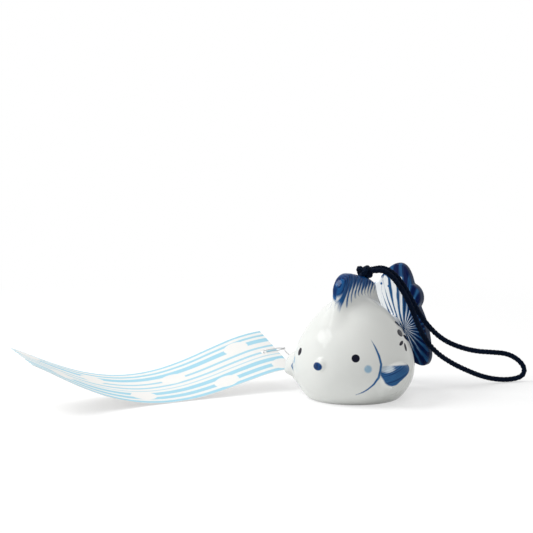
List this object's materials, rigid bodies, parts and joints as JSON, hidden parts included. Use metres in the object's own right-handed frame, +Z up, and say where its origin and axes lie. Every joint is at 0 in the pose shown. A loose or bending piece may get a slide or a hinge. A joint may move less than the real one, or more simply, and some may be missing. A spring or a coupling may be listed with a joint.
{
  "type": "wind bell",
  "caption": "Porcelain wind bell shaped like a plump fish, hung on a knotted cord loop, with a clapper inside and a paper strip on a thread to catch the wind.",
  "frame": {"origin": "middle of the rim that the bell stands on, in the plane of that rim", "axes": "+Z up through the crown, -Y towards the fish's nose, +X towards the fish's left flank"},
  "size_m": [0.1887, 0.2355, 0.069],
  "materials": {
    "porcelain": "clear glaze over white porcelain with brushed cobalt strokes",
    "bead": "clear glaze over white porcelain",
    "cord": "braided round cord",
    "thread": "twisted thread",
    "paper": "matt paper with pale blue stripes"
  },
  "bodies": {
    "bell": {"bell_shell": "porcelain", "dorsal_fin": "porcelain", "tail_fin": "porcelain", "left_pectoral_fin": "porcelain", "right_pectoral_fin": "porcelain", "top_knot": "cord", "crown_cord": "cord", "inner_knot": "cord", "strip_thread": "thread"},
    "hanger": {"hanging_cord": "cord"},
    "hitch": {"thread_hitch": "thread"},
    "clapper": {"clapper_thread": "thread", "clapper": "bead", "clapper_knot": "thread", "tail_thread": "thread"},
    "strip_tie": {"strip_knot": "thread"},
    "strip": {"paper_strip": "paper", "strip_loop": "thread"}
  },
  "joints": [
    {"name": "loop_lift", "type": "hinge", "parent": "bell", "child": "hanger", "pos_m": [0, 0.01, 0.0653], "axis": [0.5878, -0.809, 0], "range_deg": [0, 110]},
    {"name": "clapper_turn", "type": "hinge", "parent": "bell", "child": "hitch", "pos_m": [0, 0.01, 0.03765], "axis": [0, 0, 1], "continuous": true},
    {"name": "clapper_swing", "type": "hinge", "parent": "hitch", "child": "clapper", "pos_m": [0, 0.01, 0.03765], "axis": [-1, 0, 0], "range_deg": [0, 30]},
    {"name": "strip_turn", "type": "hinge", "parent": "bell", "child": "strip_tie", "pos_m": [-0.05248, 0.00935, 0.01903], "axis": [0, 0, 1], "range_deg": [-25, 8]},
    {"name": "strip_lift", "type": "hinge", "parent": "strip_tie", "child": "strip", "pos_m": [-0.05248, 0.00935, 0.01903], "axis": [-0.9136, 0.4067, 0], "range_deg": [0, 60]}
  ]
}
